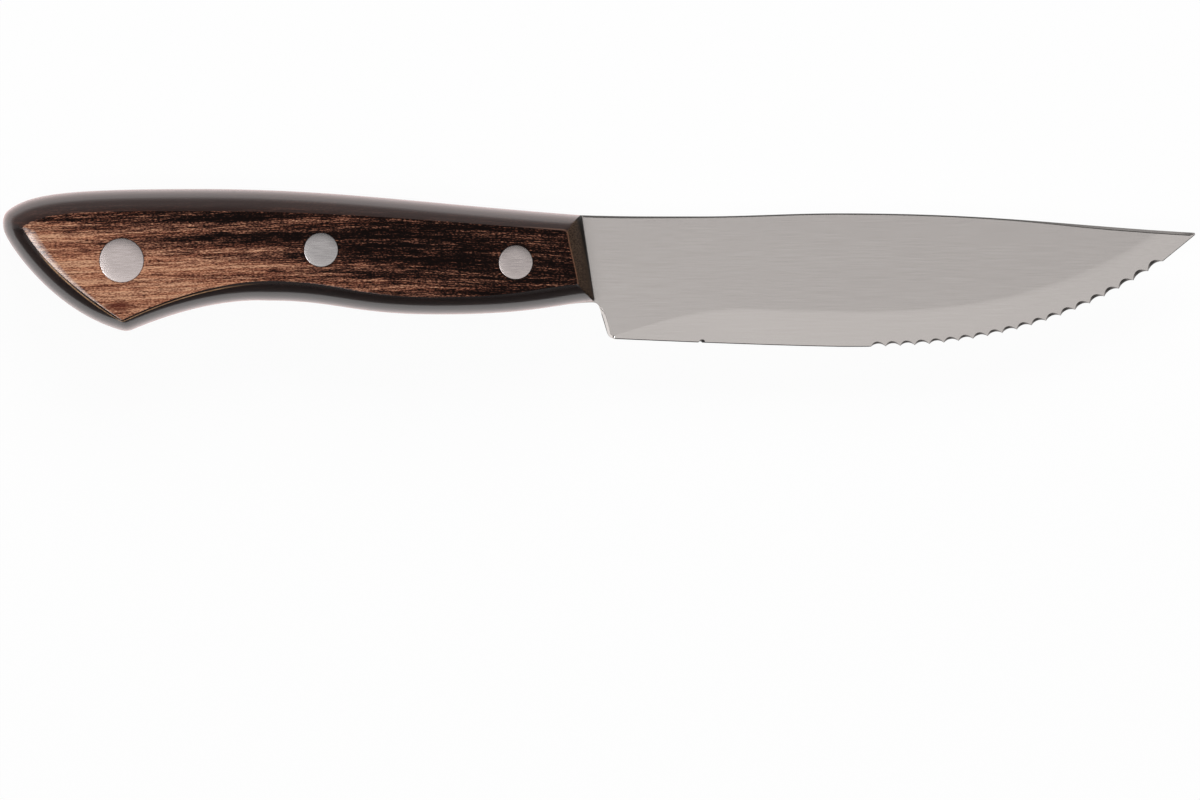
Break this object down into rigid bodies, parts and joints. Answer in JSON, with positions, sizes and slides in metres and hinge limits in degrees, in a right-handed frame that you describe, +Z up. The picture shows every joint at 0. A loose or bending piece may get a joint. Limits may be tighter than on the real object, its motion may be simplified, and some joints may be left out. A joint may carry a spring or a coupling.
{
  "type": "steak knife",
  "caption": "Full-tang steak knife with a partly serrated blade and a riveted handle of laminated wood.",
  "frame": {"origin": "on the table under the middle of the knife, which lies on its side", "axes": "+X from the butt of the handle to the tip of the blade, +Y from the edge to the back, +Z up out of the upper scale"},
  "size_m": [0.25, 0.033, 0.017],
  "materials": {
    "steel": "satin",
    "wood": "lacquered laminated wood",
    "rivet": "ground flush"
  },
  "bodies": {
    "root": {"blade": "steel", "upper_scale": "wood", "lower_scale": "wood", "rear_rivet_socket": "rivet", "rear_rivet_pin": "rivet", "middle_rivet_socket": "rivet", "middle_rivet_pin": "rivet", "front_rivet_socket": "rivet", "front_rivet_pin": "rivet"}
  },
  "joints": []
}
